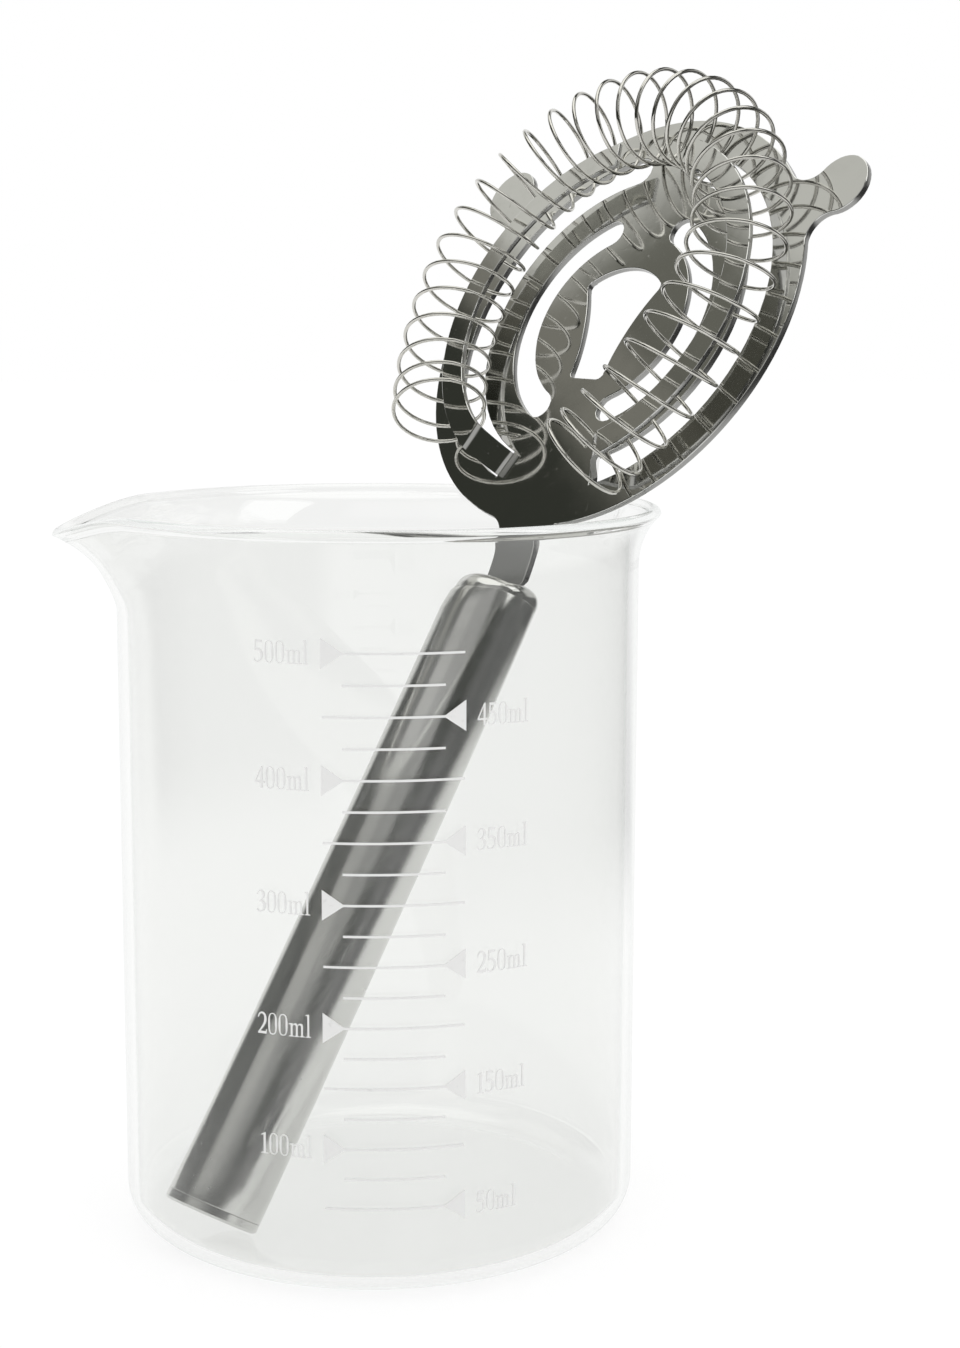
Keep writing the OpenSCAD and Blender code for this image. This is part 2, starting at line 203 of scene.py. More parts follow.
def add_piece(name, mesh, body, slot, material, *replaced):
    """Shows a mesh as a piece that moves with a body and stands for CAD nodes."""
    piece = bpy.data.objects.new(name, mesh)
    bpy.context.scene.collection.objects.link(piece)
    mesh.materials.clear()
    mesh.materials.append(material)
    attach(piece, body)
    if replaced:
        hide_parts(*replaced)
    return piece


def mesh_from(bm, name):
    """A smooth-shaded mesh from a bmesh, which is used up."""
    mesh = bpy.data.meshes.new(name)
    for face in bm.faces:
        face.smooth = True
    bm.to_mesh(mesh)
    bm.free()
    imported = mesh.attributes.get("custom_normal")
    if imported:  # a CAD copy's own, which its new faces don't fit
        mesh.attributes.remove(imported)
    return mesh


def lathe(profile, steps, closed=False):
    """A profile of (radius, height) turned round Z, as a closed bmesh."""
    bm = bmesh.new()
    verts = [bm.verts.new((r, 0, z)) for r, z in profile]
    ends = verts[1:] + verts[:1] if closed else verts[1:]
    edges = [bm.edges.new(pair) for pair in zip(verts, ends)]
    bmesh.ops.spin(
        bm,
        geom=verts + edges,
        cent=(0, 0, 0),
        axis=(0, 0, 1),
        angle=2 * pi,
        steps=steps,
        use_merge=True,
    )
    bmesh.ops.remove_doubles(bm, verts=bm.verts, dist=MERGE)
    bmesh.ops.recalc_face_normals(bm, faces=bm.faces)
    return bm


def arc(centre, radius, start, end, steps):
    """Points (r, z) on an arc, from one angle in degrees to another."""
    angles = [radians(start + (end - start) * i / steps) for i in range(steps + 1)]
    return [
        (centre[0] + radius * cos(a), centre[1] + radius * sin(a)) for a in angles
    ]


def cad_copy(node):
    """A merged copy of a CAD node's triangles, its flat faces joined up."""
    bm = bmesh.new()
    bm.from_mesh(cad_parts[node].data)
    bmesh.ops.remove_doubles(bm, verts=bm.verts, dist=MERGE)
    bmesh.ops.dissolve_limit(bm, angle_limit=SAME_FLAT, verts=bm.verts, edges=bm.edges)
    return bm


def round_edges(bm, edges, width):
    """Rounds edges over a width, in two steps, and leaves the faces flat."""
    bmesh.ops.bevel(
        bm,
        geom=edges,
        offset=width,
        offset_type="OFFSET",
        affect="EDGES",
        segments=2,
        profile=0.5,
        material=-1,
        clamp_overlap=False,
    )


def sharp_mesh(bm, name, angle, flat=()):
    """A mesh shaded smooth, but for flat faces and edges that turn by an angle."""
    bm.faces.index_update()
    level = [face.index for face in flat]
    mesh = mesh_from(bm, name)
    mesh.set_sharp_from_angle(angle=radians(angle))
    for index in level:
        mesh.polygons[index].use_smooth = False
    return mesh


# Nodes


def add(tree, kind, inputs=None, **settings):
    """A node with its settings, and each input set or linked."""
    node = tree.nodes.new(kind)
    for key, value in settings.items():
        setattr(node, key, value)
    for key, value in (inputs or {}).items():
        if isinstance(value, bpy.types.NodeSocket):
            tree.links.new(value, node.inputs[key])
        else:
            node.inputs[key].default_value = value
    return node


def maths(tree, operation, *values, clamp=False):
    """The result of a Math node."""
    node = add(
        tree,
        "ShaderNodeMath",
        dict(enumerate(values)),
        operation=operation,
        use_clamp=clamp,
    )
    return node.outputs[0]


def ramp(tree, value, low, high, to_low=0.0, to_high=1.0):
    """A value mapped smoothly from one range to another, held at both ends."""
    node = add(
        tree,
        "ShaderNodeMapRange",
        {0: value, 1: low, 2: high, 3: to_low, 4: to_high},
        interpolation_type="SMOOTHSTEP",
        clamp=True,
    )
    return node.outputs[0]


def blend(tree, factor, a, b):
    """A colour between two colours."""
    node = add(
        tree,
        "ShaderNodeMix",
        {0: factor, 6: a, 7: b},
        data_type="RGBA",
        clamp_factor=True,
    )
    return node.outputs[2]


def noise(tree, vector, scale, detail=2.0, rough=0.5, distortion=0.0):
    """A noise value from 0 to 1."""
    node = add(
        tree,
        "ShaderNodeTexNoise",
        {
            "Vector": vector,
            "Scale": scale,
            "Detail": detail,
            "Roughness": rough,
            "Distortion": distortion,
        },
    )
    return node.outputs[0]


def vector_maths(tree, operation, *values):
    """The result of a Vector Math node, which is a number for some operations."""
    node = add(
        tree, "ShaderNodeVectorMath", dict(enumerate(values)), operation=operation
    )
    number = operation in ("DOT_PRODUCT", "LENGTH")
    return node.outputs["Value" if number else "Vector"]


def bump(tree, height, distance, strength=1.0, normal=None):
    """A normal bent by a height, of which 1 stands for a distance in metres."""
    inputs = {"Strength": strength, "Distance": distance, "Height": height}
    if normal is not None:
        inputs["Normal"] = normal
    return add(tree, "ShaderNodeBump", inputs).outputs[0]


def mapped(tree, vector, rotation=(0, 0, 0), scale=(1, 1, 1)):
    """Coordinates turned and stretched by a Mapping node."""
    node = add(
        tree,
        "ShaderNodeMapping",
        {"Vector": vector, "Rotation": rotation, "Scale": scale},
        vector_type="TEXTURE",
    )
    return node.outputs[0]


def new_group(name, inputs, outputs):
    """An empty shader node group: its tree, its inputs and its output node."""
    tree = bpy.data.node_groups.new(name, "ShaderNodeTree")
    kinds = {"v": "NodeSocketVector", "f": "NodeSocketFloat"}
    for label, kind, default in inputs:
        socket = tree.interface.new_socket(
            label, in_out="INPUT", socket_type=kinds[kind]
        )
        if default is not None:
            socket.default_value = default
    for label, kind in outputs:
        tree.interface.new_socket(label, in_out="OUTPUT", socket_type=kinds[kind])
    start = tree.nodes.new("NodeGroupInput")
    return tree, start.outputs, tree.nodes.new("NodeGroupOutput")


def once(build):
    """Builds a node group the first time it is asked for."""
    made = {}

    def get():
        if build not in made:
            made[build] = build()
        return made[build]

    return get


def put(tree, group, **values):
    """A group placed in a tree, its inputs given by name."""
    node = tree.nodes.new("ShaderNodeGroup")
    node.node_tree = group
    for key, value in values.items():
        socket = node.inputs[key.replace("_", " ")]
        if isinstance(value, bpy.types.NodeSocket):
            tree.links.new(value, socket)
        else:
            socket.default_value = value
    return node.outputs


# Noise at which each mask begins, and at which it is full
STREAKED = (0.35, 0.65)
SMUDGED = (0.42, 0.68)
SPECKLED = (0.66, 0.74)
SCRATCHED = (0.70, 0.76)
BROAD_FINENESS = 0.16  # of a belt's broad lines, against its fine ones
BROAD_HEIGHT = 0.8
SCRATCH_WAYS = ((0.2, 0.5, 0.3), (1.1, -0.9, 0.3), (-0.6, 1.9, 0.3))  # rotations
SCRATCH_STRETCH = (1, 30, 1)
WAVE_STRETCH = (1, 1, 2.5)
SEED_EDGE = (0.05, 0.12)  # from its middle, as a share of the distance between seeds
SEED_EMPTY = 0.988  # share of the places for a seed that stay empty
SEED_HEIGHT = 0.02  # against the waves of the wall


@once
def polish_lines():
    """Lines left by a polishing belt, running along Z of the vector."""
    tree, given, out = new_group(
        "polish_lines",
        [("Vector", "v", None), ("Fineness", "f", 3000.0), ("Run", "f", 0.02)],
        [("Height", "f"), ("Streak", "f")],
    )
    squash = add(
        tree, "ShaderNodeCombineXYZ", {0: 1.0, 1: 1.0, 2: given["Run"]}
    ).outputs[0]
    along = vector_maths(tree, "MULTIPLY", given["Vector"], squash)
    fine = noise(tree, along, given["Fineness"], detail=3, rough=0.6)
    broad_scale = maths(tree, "MULTIPLY", given["Fineness"], BROAD_FINENESS)
    broad = noise(tree, along, broad_scale, detail=2, rough=0.5)
    both = maths(tree, "ADD", fine, maths(tree, "MULTIPLY", broad, BROAD_HEIGHT))
    tree.links.new(both, out.inputs["Height"])
    tree.links.new(ramp(tree, broad, *STREAKED), out.inputs["Streak"])
    return tree


@once
def handling_wear():
    """Smudges and dried drops left by use, as masks that vary over a surface."""
    tree, given, out = new_group(
        "handling_wear",
        [("Vector", "v", None), ("Patches", "f", 60.0), ("Specks", "f", 900.0)],
        [("Smudge", "f"), ("Speck", "f")],
    )
    cloud = noise(
        tree, given["Vector"], given["Patches"], detail=4, rough=0.6, distortion=0.6
    )
    speck = noise(tree, given["Vector"], given["Specks"], detail=2, rough=0.5)
    tree.links.new(ramp(tree, cloud, *SMUDGED), out.inputs["Smudge"])
    tree.links.new(ramp(tree, speck, *SPECKLED), out.inputs["Speck"])
    return tree


@once
def hairlines():
    """Sparse fine scratches in three directions, as a mask."""
    tree, given, out = new_group(
        "hairlines",
        [("Vector", "v", None), ("Fineness", "f", 1800.0)],
        [("Mask", "f")],
    )
    masks = []
    for rotation in SCRATCH_WAYS:
        along = mapped(tree, given["Vector"], rotation, SCRATCH_STRETCH)
        line = noise(tree, along, given["Fineness"], detail=1, rough=0.4)
        masks.append(ramp(tree, line, *SCRATCHED))
    most = maths(tree, "MAXIMUM", maths(tree, "MAXIMUM", *masks[:2]), masks[2])
    tree.links.new(most, out.inputs["Mask"])
    return tree


@once
def blown_glass():
    """Slow waves of a formed wall and a few tiny seeds, as a height."""
    tree, given, out = new_group(
        "blown_glass",
        [("Vector", "v", None), ("Waves", "f", 45.0), ("Seeds", "f", 420.0)],
        [("Height", "f")],
    )
    tall = mapped(tree, given["Vector"], scale=WAVE_STRETCH)
    wave = noise(tree, tall, given["Waves"], detail=1, rough=0.4, distortion=0.2)
    spots = add(
        tree,
        "ShaderNodeTexVoronoi",
        {"Vector": given["Vector"], "Scale": given["Seeds"]},
        feature="F1",
    )
    near = ramp(tree, spots.outputs["Distance"], *SEED_EDGE, to_low=1.0, to_high=0.0)
    pick = add(tree, "ShaderNodeSeparateColor", {0: spots.outputs["Color"]}).outputs[0]
    chosen = maths(tree, "GREATER_THAN", pick, SEED_EMPTY)
    seed = maths(tree, "MULTIPLY", near, chosen)
    height = maths(tree, "ADD", wave, maths(tree, "MULTIPLY", seed, SEED_HEIGHT))
    tree.links.new(height, out.inputs["Height"])
    return tree


@once
def studio_panel():
    """One soft panel of the studio as a mask over directions."""
    tree, given, out = new_group(
        "studio_panel",
        [
            ("Direction", "v", None),
            ("Aim", "v", (0.0, 1.0, 0.0)),
            ("Side", "f", 0.8),
            ("Low", "f", -1.0),
            ("High", "f", 1.0),
            ("Feather", "f", 0.08),
        ],
        [("Mask", "f")],
    )
    flat = vector_maths(tree, "MULTIPLY", given["Direction"], (1.0, 1.0, 0.0))
    level = vector_maths(tree, "NORMALIZE", flat)
    facing = vector_maths(tree, "DOT_PRODUCT", level, given["Aim"])
    up = add(tree, "ShaderNodeSeparateXYZ", {0: given["Direction"]}).outputs[2]

    def soft(value, edge):
        return ramp(
            tree,
            value,
            maths(tree, "SUBTRACT", edge, given["Feather"]),
            maths(tree, "ADD", edge, given["Feather"]),
        )

    aside = soft(facing, given["Side"])
    above = soft(up, given["Low"])
    below = maths(tree, "SUBTRACT", 1.0, soft(up, given["High"]))
    mask = maths(tree, "MULTIPLY", aside, maths(tree, "MULTIPLY", above, below))
    tree.links.new(mask, out.inputs["Mask"])
    return tree


def new_material(name):
    """A material with an empty tree: the material, its tree and its output node."""
    material = bpy.data.materials.new(name)
    material.use_nodes = True
    tree = material.node_tree
    tree.nodes.clear()
    return material, tree, tree.nodes.new("ShaderNodeOutputMaterial")


def object_coordinates(tree):
    """The place on a piece, in metres."""
    return tree.nodes.new("ShaderNodeTexCoord").outputs["Object"]


def rgba(value, share=1.0):
    """An opaque colour, or a share of it."""
    return (*(part * share for part in value), 1.0)


CUT_EDGE = "cut_edge"  # attribute that is 1 where a sheet was cut through
CUT_SHARE = 0.5  # how much of the light a cut edge throws back against the sheet
CUT_ROUGHER = 0.22  # roughness that a cut edge adds
SPECK_ROUGHER = 0.06  # roughness that a dried drop adds
SMUDGE_ROUGHER = 0.9  # roughness that a smudge adds, against the steel's own
STREAK_ROUGHER = 0.5  # roughness that a belt's streak adds, against the steel's own
SMUDGE_TONE = 0.88  # share of its colour that smudged steel goes towards
SMUDGE_DULLS = 0.5  # how far it goes there
SCRATCH_HEIGHT = -0.2  # of a hairline, against the belt's lines
FINE_DISTANCE, FINE_STRENGTH = 0.000007, 0.12  # relief of scratches and lines
SPECKS, SCRATCHES = 900.0, 900.0  # fineness on steel
BELT_FINENESS, BELT_RUN = 1300.0, 0.01
RIPPLES = 130.0  # fineness of slow waves


def steel(name, base, rough, wear, run=None, ripple=0.0, sheared=False):
    """Polished stainless steel. wear is the fineness of its smudges; run is the
    direction in which a belt has gone over it, as a rotation; ripple is the
    height of slow waves in metres; sheared is for a mesh that has CUT_EDGE."""
    material, tree, out = new_material(name)
    vector = object_coordinates(tree)
    worn = put(tree, handling_wear(), Vector=vector, Patches=wear, Specks=SPECKS)
    scratches = put(tree, hairlines(), Vector=vector, Fineness=SCRATCHES)["Mask"]
    height = maths(tree, "MULTIPLY", scratches, SCRATCH_HEIGHT)
    extra = maths(tree, "MULTIPLY", worn["Smudge"], rough * SMUDGE_ROUGHER)
    if run is not None:
        turned = mapped(tree, vector, run)
        lines = put(
            tree, polish_lines(), Vector=turned, Fineness=BELT_FINENESS, Run=BELT_RUN
        )
        height = maths(tree, "ADD", height, lines["Height"])
        streak = maths(tree, "MULTIPLY", lines["Streak"], rough * STREAK_ROUGHER)
        extra = maths(tree, "ADD", extra, streak)
    extra = maths(
        tree, "ADD", extra, maths(tree, "MULTIPLY", worn["Speck"], SPECK_ROUGHER)
    )
    roughness = maths(tree, "ADD", rough, extra, clamp=True)
    dulled = maths(tree, "MULTIPLY", worn["Smudge"], SMUDGE_DULLS)
    tone = blend(tree, dulled, rgba(base), rgba(base, SMUDGE_TONE))
    if sheared:
        cut = add(
            tree,
            "ShaderNodeAttribute",
            attribute_name=CUT_EDGE,
            attribute_type="GEOMETRY",
        ).outputs["Fac"]
        tone = blend(tree, cut, tone, rgba(base, CUT_SHARE))
        rougher = maths(tree, "MULTIPLY", cut, CUT_ROUGHER)
        roughness = maths(tree, "ADD", roughness, rougher, clamp=True)
    normal = bump(tree, height, FINE_DISTANCE, FINE_STRENGTH)
    if ripple:
        slow = noise(tree, vector, RIPPLES, detail=2, rough=0.5, distortion=0.3)
        normal = bump(tree, slow, ripple, normal=normal)
    shader = add(
        tree,
        "ShaderNodeBsdfPrincipled",
        {
            "Base Color": tone,
            "Metallic": 1.0,
            "Roughness": roughness,
            "Normal": normal,
        },
    )
    tree.links.new(shader.outputs[0], out.inputs[0])
    return material


GLASS_IOR = 1.474
GLASS_PATCHES, GLASS_SPECKS = 38.0, 500.0  # fineness of its wear
GLASS_SMUDGED = 0.012  # roughness of a smudge on it
WALL_DISTANCE, WALL_STRENGTH = 0.000025, 0.5  # relief of its waves and seeds
EDGE_SHADE_ON = (0.72, 0.97)  # facing at which the painted shade of the edge begins and is full
CLEARED = (0.93, 0.94, 0.935, 1.0)  # what is left of light that goes straight on
LED_TURNS = 2.5  # turns inside the wall after which light goes straight on


def glass_material(look):
    """Clear borosilicate glass that lets the lamps' light through, with painted shade
    where its wall is seen edge-on.
    """
    material, tree, out = new_material("clear_glass")
    vector = object_coordinates(tree)
    formed = put(tree, blown_glass(), Vector=vector)
    worn = put(
        tree,
        handling_wear(),
        Vector=vector,
        Patches=GLASS_PATCHES,
        Specks=GLASS_SPECKS,
    )
    # Painted shade: the colour goes from Clear to the darker Edge as the wall is seen
    # more edge-on
    facing = add(tree, "ShaderNodeLayerWeight", {"Blend": 0.5}).outputs["Facing"]
    edge = ramp(tree, facing, *EDGE_SHADE_ON)
    shader = add(
        tree,
        "ShaderNodeBsdfPrincipled",
        {
            "Base Color": blend(tree, edge, rgba(look.clear), rgba(look.edge)),
            "Metallic": 0.0,
            "Roughness": maths(tree, "MULTIPLY", worn["Smudge"], GLASS_SMUDGED),
            "IOR": GLASS_IOR,
            "Transmission Weight": 1.0,
            "Normal": bump(tree, formed["Height"], WALL_DISTANCE, WALL_STRENGTH),
        },
    ).outputs[0]
    through = add(tree, "ShaderNodeBsdfTransparent", {"Color": CLEARED}).outputs[0]
    # Lamps' light goes through, and so does light that the wall would lead on
    # and on, which would leave the rim black
    path = tree.nodes.new("ShaderNodeLightPath").outputs
    led_on = maths(tree, "GREATER_THAN", path["Glossy Depth"], LED_TURNS)
    straight = maths(tree, "MAXIMUM", path["Is Shadow Ray"], led_on)
    mixed = add(tree, "ShaderNodeMixShader", {0: straight, 1: shader, 2: through})
    tree.links.new(mixed.outputs[0], out.inputs[0])
    return material


GRAIN, THIN_SPOTS = 4200.0, 1300.0  # fineness of the enamel's noises
GRAIN_DISTANCE, GRAIN_STRENGTH = 0.00004, 0.25
GRAINY = (0.3, 0.7)  # noise at which the enamel is smoothest and roughest
GRAIN_ROUGH = (0.38, 0.55)  # its roughness there
THIN = (0.62, 0.72)  # noise at which the enamel begins to be thin, and is thinnest
THIN_TONE, THIN_SHARE = 0.86, 0.6  # share of its white there, and how far it goes


def enamel_material(look):
    """White enamel, screen printed and fired: grainy, thin at small spots."""
    material, tree, out = new_material("fired_enamel")
    vector = object_coordinates(tree)
    grain = noise(tree, vector, GRAIN, detail=3, rough=0.6)
    spots = noise(tree, vector, THIN_SPOTS, detail=2, rough=0.5)
    thin = maths(tree, "MULTIPLY", ramp(tree, spots, *THIN), THIN_SHARE)
    shader = add(
        tree,
        "ShaderNodeBsdfPrincipled",
        {
            "Base Color": blend(
                tree, thin, rgba(look.white), rgba(look.white, THIN_TONE)
            ),
            "Roughness": ramp(tree, grain, *GRAINY, *GRAIN_ROUGH),
            "Normal": bump(tree, grain, GRAIN_DISTANCE, GRAIN_STRENGTH),
        },
    )
    tree.links.new(shader.outputs[0], out.inputs[0])
    return material


# Glass


# Steps of the glass's section
CORNER_STEPS, WALL_STEPS, UPPER_STEPS, FLARE_STEPS, BEAD_STEPS = 12, 12, 3, 14, 16


def glass_profile(g):
    """Half section of the glass: underside, wall, bead and back down inside."""
    wall_r, inner_r = g.body / 2, g.body / 2 - g.wall
    bead_r = g.bead / 2
    bead_mid, bead_z = g.rim / 2 - bead_r, g.height - bead_r
    inner_corner = g.corner - g.wall
    flare_z, flare_out = bead_z - g.flare, bead_mid - (wall_r - g.wall / 2)
    arc_r = (g.flare**2 + flare_out**2) / (2 * flare_out)
    low = bead_z - g.lip_height

    def middle(t):
        return wall_r - g.wall / 2 + arc_r - sqrt(arc_r**2 - (t * g.flare) ** 2)

    def half(t):
        return g.wall / 2 + (bead_r - g.wall / 2) * t

    def rows(start, end, steps):
        return [start + (end - start) * i / steps for i in range(1, steps + 1)]

    shares = [i / FLARE_STEPS for i in range(1, FLARE_STEPS)]
    heights = rows(g.corner, low, WALL_STEPS) + rows(low, flare_z, UPPER_STEPS)
    outer_centre = (wall_r - g.corner, g.corner)
    inner_centre = (inner_r - inner_corner, g.floor + inner_corner)
    return (
        [(0.0, 0.0)]
        + arc(outer_centre, g.corner, -90, 0, CORNER_STEPS)
        + [(wall_r, z) for z in heights]
        + [(middle(t) + half(t), flare_z + t * g.flare) for t in shares]
        + arc((bead_mid, bead_z), bead_r, 0, 180, BEAD_STEPS)
        + [(middle(t) - half(t), flare_z + t * g.flare) for t in reversed(shares)]
        + [(inner_r, z) for z in reversed(heights)]
        + arc(inner_centre, inner_corner, 0, -90, CORNER_STEPS)
        + [(0.0, g.floor)]
    )


LIP_RISE = 1.2  # how the drawing-out of the lip grows towards the rim
LIP_FLANK = 1.35  # how pointed the lip is from above


def draw_lip(bm, g):
    """Draws the pouring lip out of the finished round rim, along -X."""
    bead_z = g.height - g.bead / 2
    for vert in bm.verts:
        x, y, z = vert.co
        rise = min(1.0, max(0.0, (z - bead_z + g.lip_height) / g.lip_height))
        off = abs(abs(atan2(y, x)) - pi) / (g.lip_angle / 2)
        radius = sqrt(x * x + y * y)
        if rise == 0.0 or off >= 1.0 or radius == 0.0:
            continue
        pull = ((1 + cos(pi * off)) / 2) ** LIP_FLANK * rise**LIP_RISE
        grown = 1 + pull * g.lip_reach / radius
        vert.co = (x * grown, y * grown, z - pull * g.lip_drop)


class PITCHER_OT_glass(bpy.types.Operator):
    """Blows the glass: one wall from floor to rim, with its lip"""

    bl_idname = "pitcher.glass"
    bl_label = "Glass"

    def execute(self, context):
        g = context.scene.pitcher_glass
        bm = lathe(glass_profile(g), g.sides)
        draw_lip(bm, g)
        mesh = mesh_from(bm, "pitcher_glass")
        add_piece(
            "pitcher_glass",
            mesh,
            "pitcher",
            "glass",
            glass_material(g),
            "glass_beaker",
        )
        return {"FINISHED"}


# Print


# Letters with feet, drawn for this scale: how far each moves the next one on,
# then its outlines as points in hundredths of the height of a numeral. c is a
# corner and s a smooth point.
LETTERS = {
    "0": (
        54,
        "s25,-1 s2,50 s25,101 s48,50",
        "s25,3 s38,50 s25,97 s12,50",
    ),
    "1": (
        46,
        "c4,0 c40,0 c40,3 c28,6 c28,100 c25,100 c4,89 c5,86 c17,89 c17,6 c4,3",
    ),
    "2": (
        54,
        "c2,0 c46,0 c50,22 c47,22 c42,11 c14,11 s34,34 s45,54 s47,74 s40,93 s25,101"
        " s9,94 c2,76 c6,74 s12,86 s21,93 s32,88 s36,73 s33,55 s21,32 c2,5",
    ),
    "3": (
        52,
        "c3,80 s10,94 s24,101 s39,93 s43,77 s38,63 c28,55 s41,47 s46,30 s39,8"
        " s20,-1 s5,3 c0,12 c5,16 s10,8 s20,5 s31,12 s35,28 s29,43 c14,49 c14,52"
        " s27,62 s32,77 s27,90 s19,93 s10,87 c6,78",
    ),
    "4": (
        54,
        "c30,0 c40,0 c40,24 c51,24 c51,32 c40,32 c40,101 c34,101 c0,31 c0,24 c30,24",
        "c30,32 c7,32 c30,83",
    ),
    "5": (
        53,
        "c7,100 c43,100 c41,89 c13,89 c11,62 s24,63 s40,55 s47,34 s39,9 s19,-1"
        " s5,3 c0,12 c5,16 s11,8 s20,5 s31,12 s36,31 s30,48 s18,53 c7,50 c5,52",
    ),
    "m": (
        84,
        "c0,0 c27,0 c27,3 c19,5 c19,47 s24,54 s30,55 s35,51 c36,42 c36,5 c29,3 c29,0"
        " c53,0 c53,3 c45,5 c45,47 s50,54 s56,55 s61,51 c62,42 c62,5 c55,3 c55,0"
        " c80,0 c80,3 c71,5 c71,42 s69,57 s60,63 s50,60 c43,53 s41,60 s34,63 s25,60"
        " c19,54 c19,63 c0,60 c0,57 c10,55 c10,5 c0,3",
    ),
    "l": (30, "c0,0 c27,0 c27,3 c18,5 c18,108 c0,105 c0,102 c9,100 c9,5 c0,3"),
}


def word_curve(text, cap):
    """A word as a flat filled curve, its left foot at the origin."""
    curve = bpy.data.curves.new(text, "CURVE")
    curve.dimensions = "2D"
    curve.fill_mode = "BOTH"
    curve.resolution_u = 5
    start = 0
    for letter in text:
        advance, *outlines = LETTERS[letter]
        for outline in outlines:
            marks = outline.split()
            spline = curve.splines.new("BEZIER")
            spline.use_cyclic_u = True
            spline.bezier_points.add(len(marks) - 1)
            for point, mark in zip(spline.bezier_points, marks):
                x, y = (float(part) for part in mark[1:].split(","))
                kind = "VECTOR" if mark[0] == "c" else "AUTO"
                point.handle_left_type = point.handle_right_type = kind
                point.co = ((start + x) * cap / 100, y * cap / 100, 0)
        start += advance
    return curve


def mesh_of(curve):
    """A curve made a mesh."""
    drawn = bpy.data.objects.new(curve.name, curve)
    bpy.context.scene.collection.objects.link(drawn)
    bpy.context.view_layer.update()
    mesh = bpy.data.meshes.new_from_object(
        drawn.evaluated_get(bpy.context.evaluated_depsgraph_get())
    )
    bpy.data.objects.remove(drawn)
    return mesh


MARKS, MARK_VOLUME = 10, 50  # arrow marks, and millilitres from one to the next


class PITCHER_OT_print(bpy.types.Operator):
    """Prints the scale: enamel on the marks and the numerals beside them"""

    bl_idname = "pitcher.print"
    bl_label = "Printed scale"

    def execute(self, context):
        p, g = context.scene.pitcher_print, context.scene.pitcher_glass
        enamel = enamel_material(p)
        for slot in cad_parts["scale_marks"].material_slots:
            slot.material = enamel
        bm = bmesh.new()
        for i in range(1, MARKS + 1):
            mesh = mesh_of(word_curve(f"{MARK_VOLUME * i}ml", p.cap))
            word = bmesh.new()
            word.from_mesh(mesh)
            bmesh.ops.remove_doubles(word, verts=word.verts, dist=MERGE)
            bmesh.ops.scale(word, vec=(p.squeeze, 1, 1), verts=word.verts)
            wide = max(v.co.x for v in word.verts)
            x = -p.left - wide if i % 2 == 0 else p.right
            z = p.first + (i - 1) * p.rise - p.cap / 2
            bmesh.ops.translate(word, vec=(x, z, 0), verts=word.verts)
            word.to_mesh(mesh)
            word.free()
            bm.from_mesh(mesh)
        raised = bmesh.ops.extrude_face_region(bm, geom=bm.faces[:])["geom"]
        front = [e for e in raised if isinstance(e, bmesh.types.BMVert)]
        bmesh.ops.translate(bm, vec=(0, 0, p.film), verts=front)
        base = g.body / 2 + p.gap
        for vert in bm.verts:
            x, y, lift = vert.co
            angle, radius = x / base, base + lift
            vert.co = (radius * sin(angle), -radius * cos(angle), y)
        bmesh.ops.recalc_face_normals(bm, faces=bm.faces)
        mesh = bpy.data.meshes.new("scale_numerals")
        bm.to_mesh(mesh)
        bm.free()
        add_piece("scale_numerals", mesh, "pitcher", "enamel", enamel)
        return {"FINISHED"}


# Strainer


def handle_frame(s, g):
    """The handle's frame: its lower end at the origin, up along Z."""
    stand_r = g.body / 2 - g.wall - s.rest_gap
    along = s.handle / 2 * cos(s.lean) - sqrt(stand_r**2 - s.lean_aside**2)
    up = g.floor + s.rest_gap + s.handle / 2 * sin(s.lean)
    return (
        Matrix.Rotation(s.lean_dir, 4, "Z")
        @ Matrix.Translation((along, s.lean_aside, up))
        @ Matrix.Rotation(s.lean, 4, "Y")
    )


def plate_frame(s, g):
    """The plate's frame: its middle at the origin, X to the side and Y up it."""
    return (
        handle_frame(s, g)
        @ Matrix.Translation((0, 0, s.handle_length))
        @ Matrix.Rotation(-s.head_tilt, 4, "Y")
        @ Matrix.Translation((0, 0, s.neck + s.plate / 2))
        @ Matrix.Rotation(-pi / 2, 4, "Z")
        @ Matrix.Rotation(pi / 2, 4, "X")
    )


# The part of a face's normal that stands square to the sheet tells what it is
LEVEL = 0.9999  # more is a flat side
STEEP = 0.3  # less is a cut edge
SHEET_EDGE = radians(60)  # edges that turn by more are the sheet's own


